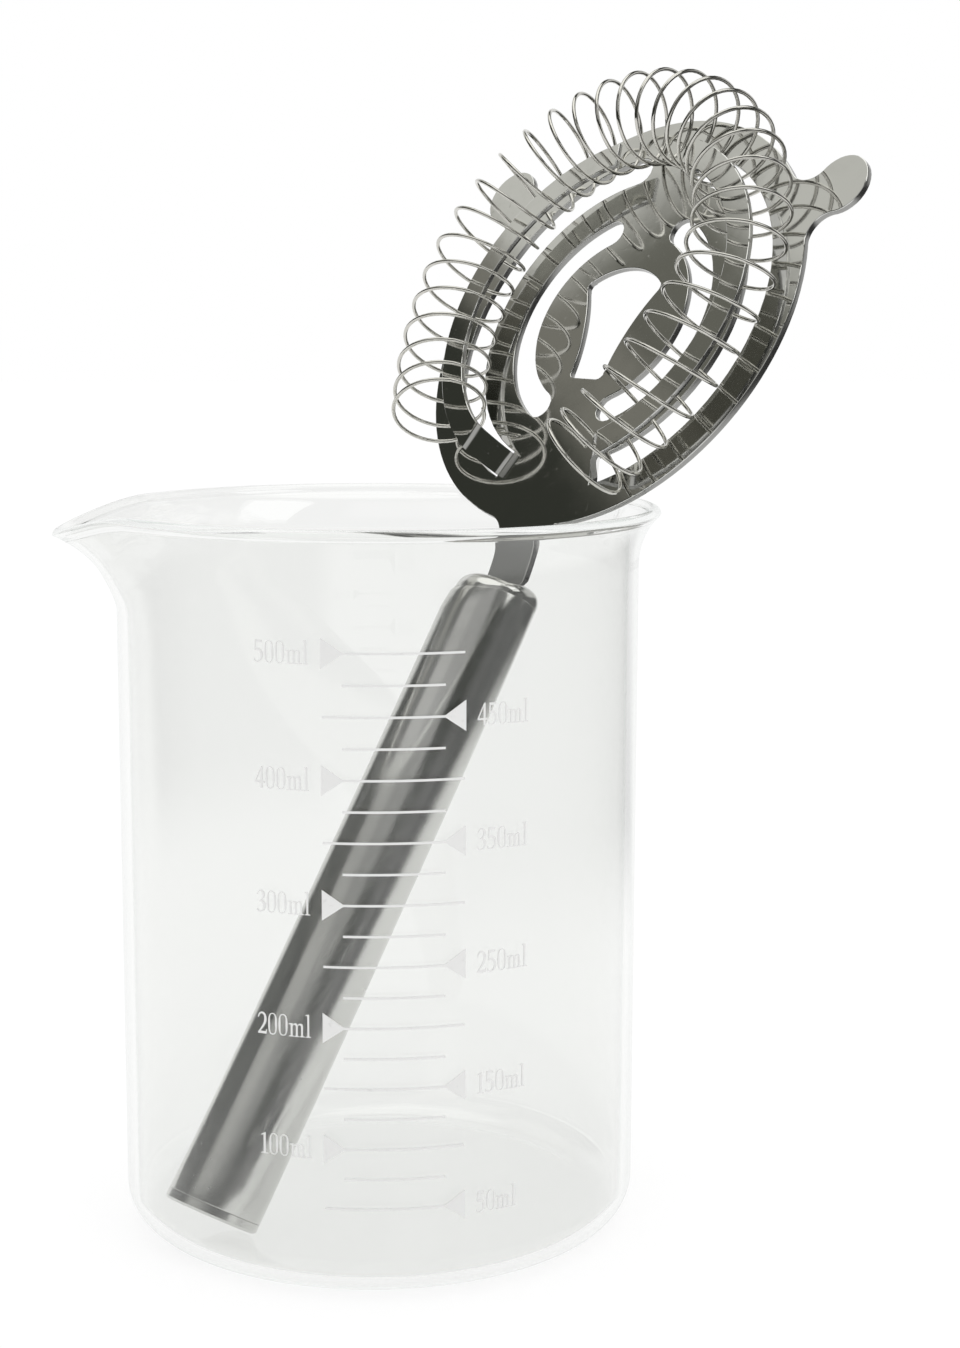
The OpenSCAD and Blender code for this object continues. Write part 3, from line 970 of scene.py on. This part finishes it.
class PITCHER_OT_plate(bpy.types.Operator):
    """Finishes the strainer's plate: rounded edges and polished sheet"""

    bl_idname = "pitcher.plate"
    bl_label = "Strainer plate"

    def execute(self, context):
        s, g = context.scene.pitcher_strainer, context.scene.pitcher_glass
        bm = cad_copy("strainer_plate")
        place = plate_frame(s, g)
        bmesh.ops.transform(bm, matrix=place.inverted(), verts=bm.verts)
        levels = [side * s.sheet / 2 for side in (-1, 1)]
        levels += [s.prong_height + side * s.prong_sheet / 2 for side in (-1, 1)]
        least = 2 * s.edge

        def on_face(edge):
            heights = [vert.co.z for vert in edge.verts]
            return any(all(abs(z - at) < 5 * MERGE for z in heights) for at in levels)

        rims = [
            edge
            for edge in bm.edges
            if on_face(edge)
            and edge.calc_length() > least
            and abs(edge.calc_face_angle(0.0)) > SHEET_EDGE
        ]
        round_edges(bm, rims, s.edge)
        bm.normal_update()
        flat = [face for face in bm.faces if abs(face.normal.z) > LEVEL]
        cut = [float(abs(face.normal.z) < STEEP) for face in bm.faces]
        bmesh.ops.transform(bm, matrix=place, verts=bm.verts)
        mesh = sharp_mesh(bm, "plate_sheet", 35, flat)
        mesh.attributes.new(CUT_EDGE, "FLOAT", "FACE").data.foreach_set("value", cut)
        polished = steel(
            "polished_sheet",
            s.steel,
            rough=0.04,
            wear=70.0,
            ripple=0.000006,
            sheared=True,
        )
        add_piece(
            "plate_sheet", mesh, "strainer", "plate_steel", polished, "strainer_plate"
        )
        return {"FINISHED"}


COIL_START = radians(-150)  # where on its round the wire begins
COIL_TURNED = radians(-7.6)  # how far the coil stands turned round the plate
SPREAD_TURNED = radians(-4.8)  # middle of its spread, turned round the plate
SPREAD_ANGLE = radians(98)  # angle from there at which its ends start to spread
SIDE_SHARE = 0.108  # how much wider the turns lie towards the sides
CLOSE_SHARE = 0.134  # how much the end turns close up
COIL_STEP = radians(0.5)  # over which the slope of its line is taken


def coil_point(t, c, s):
    """Middle of the wire at a share t of its turns, in the plate's frame."""

    def reach(a):
        off = max(0.0, abs(a - pi / 2 - SPREAD_TURNED) - SPREAD_ANGLE)
        return s.prong_radius + c.spread * (off / (c.arc / 2 - SPREAD_ANGLE)) ** 2

    side = 2 * t - 1
    packed = SIDE_SHARE * (side**3 - side) - CLOSE_SHARE * (side**9 - side)
    a = pi / 2 + COIL_TURNED - c.arc / 2 * (side + packed)
    f = COIL_START + 2 * pi * c.turns * t
    near = COIL_STEP
    growth = (reach(a + near) - reach(a - near)) / (2 * near)
    b = a - atan(growth / reach(a))
    loop_r = (c.coil - c.wire) / 2
    height = s.sheet / 2 + c.gap + c.wire / 2 + loop_r
    middle = Vector((c.aside + reach(a) * cos(a), c.up + reach(a) * sin(a), height))
    return middle + loop_r * Vector((cos(f) * cos(b), cos(f) * sin(b), sin(f)))


class PITCHER_OT_coil(bpy.types.Operator):
    """Winds the coil on to the prongs"""

    bl_idname = "pitcher.coil"
    bl_label = "Coil spring"

    def execute(self, context):
        scene = context.scene
        c, s, g = scene.pitcher_coil, scene.pitcher_strainer, scene.pitcher_glass
        count = c.turns * c.steps
        line = [coil_point(i / count, c, s) for i in range(count + 1)]
        first = line[0] + (line[0] - line[1]).normalized() * c.wire
        last = line[-1] + (line[-1] - line[-2]).normalized() * c.wire
        line = [first, *line, last]
        place = plate_frame(s, g)
        curve = bpy.data.curves.new("coil_line", "CURVE")
        curve.dimensions = "3D"
        curve.bevel_depth = c.wire / 2
        curve.bevel_resolution = 4
        curve.use_fill_caps = True
        spline = curve.splines.new("POLY")
        spline.points.add(len(line) - 1)
        for point, co in zip(spline.points, line):
            point.co = (*(place @ co), 1.0)
        bm = bmesh.new()
        bm.from_mesh(mesh_of(curve))
        bmesh.ops.remove_doubles(bm, verts=bm.verts, dist=MERGE)
        bmesh.ops.recalc_face_normals(bm, faces=bm.faces)
        add_piece(
            "coil_wire",
            mesh_from(bm, "coil_wire"),
            "strainer",
            "spring_wire",
            steel("drawn_wire", s.wire_steel, rough=0.07, wear=160.0),
            "coil_spring",
        )
        return {"FINISHED"}


def plug_mesh(node, name):
    """A plug of the handle as the CAD has it, shaded smooth between its edges."""
    return sharp_mesh(cad_copy(node), name, 30)


TUBE_SIDES, TUBE_ROWS = 144, 24
TUBE_SOFT, TUBE_SOFT_STEPS = 0.18 * MM, 4  # rounding of the tube's ends


class PITCHER_OT_handle(bpy.types.Operator):
    """Turns the handle: tube, top plug and end cap"""

    bl_idname = "pitcher.handle"
    bl_label = "Handle"

    def execute(self, context):
        scene = context.scene
        s, g = scene.pitcher_strainer, scene.pitcher_glass
        place = handle_frame(s, g)
        belted = steel(
            "belted_tube",
            s.steel,
            rough=0.12,
            wear=55.0,
            run=place.to_euler("XYZ"),
            ripple=0.000011,
        )
        outer, inner = s.handle / 2, s.handle / 2 - s.tube_wall
        low, high = s.cap, s.handle_length - s.head
        soft, steps = TUBE_SOFT, TUBE_SOFT_STEPS
        rows = [low + (high - low) * i / TUBE_ROWS for i in range(1, TUBE_ROWS)]
        profile = (
            [(inner, low)]
            + arc((outer - soft, low + soft), soft, -90, 0, steps)
            + [(outer, z) for z in rows]
            + arc((outer - soft, high - soft), soft, 0, 90, steps)
            + [(inner, high)]
        )
        tube = lathe(profile, TUBE_SIDES, closed=True)
        bmesh.ops.transform(tube, matrix=place, verts=tube.verts)
        for name, mesh, node in (
            ("handle_sleeve", mesh_from(tube, "handle_sleeve"), "handle_tube"),
            ("top_plug", plug_mesh("handle_top_plug", "top_plug"), "handle_top_plug"),
            ("end_cap", plug_mesh("handle_end_cap", "end_cap"), "handle_end_cap"),
        ):
            add_piece(name, mesh, "strainer", "handle_steel", belted, node)
        return {"FINISHED"}


# Studio

CAMERA_PLACE = (-20.22 * MM, -387.22 * MM, 152.19 * MM)
CAMERA_YAW = radians(5.455)  # to the right of +Y
CAMERA_DOWN = radians(8.98)
CAMERA_ROLL = radians(0.198)
FOCAL_PIXELS = 2377.6
PICTURE_HEIGHT = 1348
SENSOR = 36.0
# Panels of the studio: direction round in degrees from +X, half width in
# degrees, lowest and highest sine of the height, feather, and grey level
PANELS = (
    (-112.0, 34, 0.42, 0.8, 0.06, (0.36, 0.36, 0.355)),
    (-142.0, 22, 0.36, 0.78, 0.05, (0.50, 0.50, 0.49)),
    (-45.0, 35, -0.3, 0.2, 0.08, (0.15, 0.15, 0.15)),
    (20.0, 24, -0.05, 0.5, 0.10, (0.85, 0.85, 0.85)),
    (84.5, 44, -0.45, 0.6, 0.10, (0.95, 0.95, 0.95)),
    (150.0, 24, 0.577, 0.615, 0.008, (0.24, 0.235, 0.205)),
    (150.0, 24, 0.615, 0.92, 0.008, (0.17, 0.17, 0.145)),
    (150.0, 24, 0.662, 0.92, 0.012, (0.68, 0.68, 0.64)),
    (123.0, 27.8, 0.597, 0.92, 0.008, (0.72, 0.72, 0.68)),
    (0.0, 181, 0.86, 2.0, 0.03, (1.5, 1.5, 1.46)),
)
# Side on which the floor has painted shade in reflections, away from the object
DIM_SIDE = (cos(radians(-8)), sin(radians(-8)), 0.0)
SHADE = (0.042, 0.045, 0.037, 1.0)  # of the studio where no panel stands
WITHIN = 0.16  # how much lighter the studio is for rays turned round in the glass
BOUNCED = 0.5  # less than one bounce
TURNED_ROUND = (2.0, 1.2)  # times through glass, one to three


def grey(level):
    """An opaque grey."""
    return (level, level, level, 1.0)


def ray_history(tree):
    """Light Path's outputs, and two masks: rays that have bounced off something
    shiny, and rays that have turned round inside the glass's wall or rim."""
    path = tree.nodes.new("ShaderNodeLightPath").outputs
    bounced = maths(tree, "GREATER_THAN", path["Glossy Depth"], BOUNCED)
    inside = maths(tree, "COMPARE", path["Transmission Depth"], *TURNED_ROUND)
    return path, bounced, inside


def studio_world(fill):
    """White behind the object and through glass; panels and shade in reflections."""
    world = bpy.data.worlds.new("studio_world")
    world.use_nodes = True
    world.cycles.sampling_method = "NONE"
    tree = world.node_tree
    tree.nodes.clear()
    direction = tree.nodes.new("ShaderNodeTexCoord").outputs["Generated"]
    shade = SHADE
    for around, wide, low, high, feather, level in PANELS:
        mask = put(
            tree,
            studio_panel(),
            Direction=direction,
            Aim=(cos(radians(around)), sin(radians(around)), 0.0),
            Side=cos(radians(wide)) if wide < 180 else -2.0,  # all round
            Low=low,
            High=high,
            Feather=feather,
        )["Mask"]
        shade = blend(tree, mask, shade, rgba(level))
    path, bounced, inside = ray_history(tree)
    shade = blend(tree, maths(tree, "MULTIPLY", inside, WITHIN), shade, grey(1.0))
    seen = blend(tree, bounced, grey(1.0), shade)
    result = blend(tree, path["Is Diffuse Ray"], seen, grey(fill))
    ground = add(tree, "ShaderNodeBackground", {"Color": result, "Strength": 1.0})
    out = tree.nodes.new("ShaderNodeOutputWorld")
    tree.links.new(ground.outputs[0], out.inputs[0])
    return world


FLOOR_LIGHTS = 0.85  # grey of the floor where it lights the object
FLOOR_SEEN = 0.2  # grey of the floor where it is looked at, under its own glow
FLOOR_GLOW = 0.84  # which makes it white but for the shadow
FLOOR_SHADE_FAR = 0.07  # grey of the dim side, where the floor has painted shade in reflections
FAR_FROM = (0.18, 0.36)  # metres from the middle over which it goes dim
DIM_WITHIN = (0.4, 0.65)  # cosines of the angle from DIM_SIDE over which it does
FLOOR_HALF, FLOOR_TILES = 4.0, 8
FLOOR_DROP = 0.0003  # how far the floor lies below the glass


def floor_material():
    """Pale matt floor that the camera sees as white, apart from the shadow; in
    reflections it has painted shade far out on one side.
    """
    material, tree, out = new_material("pale_floor")
    path, bounced, inside = ray_history(tree)
    seen = maths(tree, "ADD", path["Is Camera Ray"], path["Is Glossy Ray"])
    seen = maths(tree, "ADD", seen, path["Is Transmission Ray"], clamp=True)
    place = object_coordinates(tree)
    away = vector_maths(tree, "LENGTH", place)
    way = vector_maths(tree, "NORMALIZE", place)
    aside = vector_maths(tree, "DOT_PRODUCT", way, DIM_SIDE)
    # Painted shade: far out on the dim side, the floor turns dark where it is seen in
    # reflections
    far = maths(tree, "MULTIPLY", ramp(tree, away, *FAR_FROM), bounced)
    far = maths(tree, "MULTIPLY", far, ramp(tree, aside, *DIM_WITHIN))
    far = maths(tree, "MULTIPLY", far, maths(tree, "SUBTRACT", 1.0, inside))
    plain = blend(tree, seen, grey(FLOOR_LIGHTS), grey(FLOOR_SEEN))
    tone = blend(tree, far, plain, grey(FLOOR_SHADE_FAR))
    lift = maths(tree, "MULTIPLY", maths(tree, "SUBTRACT", 1.0, far), FLOOR_GLOW)
    matt = add(tree, "ShaderNodeBsdfDiffuse", {"Color": tone})
    glow = add(
        tree,
        "ShaderNodeEmission",
        {"Color": grey(1.0), "Strength": maths(tree, "MULTIPLY", seen, lift)},
    )
    both = add(tree, "ShaderNodeAddShader", {0: matt.outputs[0], 1: glow.outputs[0]})
    tree.links.new(both.outputs[0], out.inputs[0])
    return material


LAMP_AIM = (0.0, 0.0, 0.09)
KEY_PLACE, KEY_SIZE = (0.55, -0.35, 0.62), (0.4, 0.5)
KICKER_PLACE, KICKER_SIZE = (-0.55, -0.1, 0.5), (0.2, 0.5)


def soft_lamp(name, place, size, watts):
    """A soft lamp that shines from a place towards the object."""
    lamp = bpy.data.lights.new(name, "AREA")
    lamp.shape = "RECTANGLE"
    lamp.size, lamp.size_y = size
    lamp.energy = watts
    holder = bpy.data.objects.new(name, lamp)
    holder.visible_camera = False
    way = Vector(LAMP_AIM) - Vector(place)
    turned = way.to_track_quat("-Z", "Y").to_matrix().to_4x4()
    holder.matrix_world = Matrix.Translation(place) @ turned
    bpy.context.scene.collection.objects.link(holder)
    return holder


def add_camera(scene):
    """The camera at the photograph's own place."""
    data = bpy.data.cameras.new("camera")
    data.sensor_fit = "VERTICAL"
    data.sensor_height = SENSOR
    data.lens = FOCAL_PIXELS / PICTURE_HEIGHT * SENSOR
    data.clip_start = 0.01
    camera = bpy.data.objects.new("camera", data)
    scene.collection.objects.link(camera)
    right = Vector((cos(CAMERA_YAW), -sin(CAMERA_YAW), 0))
    ahead = Vector(
        (
            sin(CAMERA_YAW) * cos(CAMERA_DOWN),
            cos(CAMERA_YAW) * cos(CAMERA_DOWN),
            -sin(CAMERA_DOWN),
        )
    )
    up = right.cross(ahead)
    side = cos(CAMERA_ROLL) * right + sin(CAMERA_ROLL) * up
    top = -sin(CAMERA_ROLL) * right + cos(CAMERA_ROLL) * up
    turned = Matrix((side, top, -ahead)).transposed().to_4x4()
    camera.matrix_world = Matrix.Translation(CAMERA_PLACE) @ turned
    scene.camera = camera


class PITCHER_OT_stage(bpy.types.Operator):
    """Sets up the floor, the studio's light and the camera"""

    bl_idname = "pitcher.stage"
    bl_label = "Studio"

    def execute(self, context):
        scene = context.scene
        levels = scene.pitcher_studio
        bm = bmesh.new()
        bmesh.ops.create_grid(
            bm, x_segments=FLOOR_TILES, y_segments=FLOOR_TILES, size=FLOOR_HALF
        )
        bmesh.ops.translate(bm, vec=(0, 0, -FLOOR_DROP), verts=bm.verts)
        mesh = bpy.data.meshes.new("studio_floor")
        bm.to_mesh(mesh)
        bm.free()
        mesh.materials.append(floor_material())
        ground = bpy.data.objects.new("studio_floor", mesh)
        scene.collection.objects.link(ground)
        scene.world = studio_world(levels.fill)
        soft_lamp("key", KEY_PLACE, KEY_SIZE, levels.key)
        kicker = soft_lamp("kicker", KICKER_PLACE, KICKER_SIZE, levels.kicker)
        # It would stand as a streak in the handle, seen straight or through glass
        kicker.visible_glossy = kicker.visible_transmission = False
        add_camera(scene)
        scene.view_settings.view_transform = "Standard"
        return {"FINISHED"}


OPERATORS = (
    PITCHER_OT_glass,
    PITCHER_OT_print,
    PITCHER_OT_plate,
    PITCHER_OT_coil,
    PITCHER_OT_handle,
    PITCHER_OT_stage,
)


class PITCHER_PT_pieces(bpy.types.Panel):
    """Sidebar panel that lists the pieces and the studio"""

    bl_label = "Mixing pitcher"
    bl_idname = "PITCHER_PT_pieces"
    bl_space_type = "VIEW_3D"
    bl_region_type = "UI"
    bl_category = "Pitcher"

    def draw(self, context):
        for operator in OPERATORS:
            self.layout.operator(operator.bl_idname)


CLASSES = (*SETTINGS.values(), *OPERATORS, PITCHER_PT_pieces)


def register():
    """Registers the classes and hangs their settings on the scene."""
    for cls in CLASSES:
        bpy.utils.register_class(cls)
    for name, group in SETTINGS.items():
        setattr(bpy.types.Scene, name, PointerProperty(type=group))


def unregister():
    """Takes back what register does."""
    for name in SETTINGS:
        delattr(bpy.types.Scene, name)
    for cls in reversed(CLASSES):
        bpy.utils.unregister_class(cls)


def main():
    """Builds everything."""
    register()
    bpy.ops.pitcher.glass()
    bpy.ops.pitcher.print()
    bpy.ops.pitcher.plate()
    bpy.ops.pitcher.coil()
    bpy.ops.pitcher.handle()
    bpy.ops.pitcher.stage()


if __name__ == "__main__":
    main()
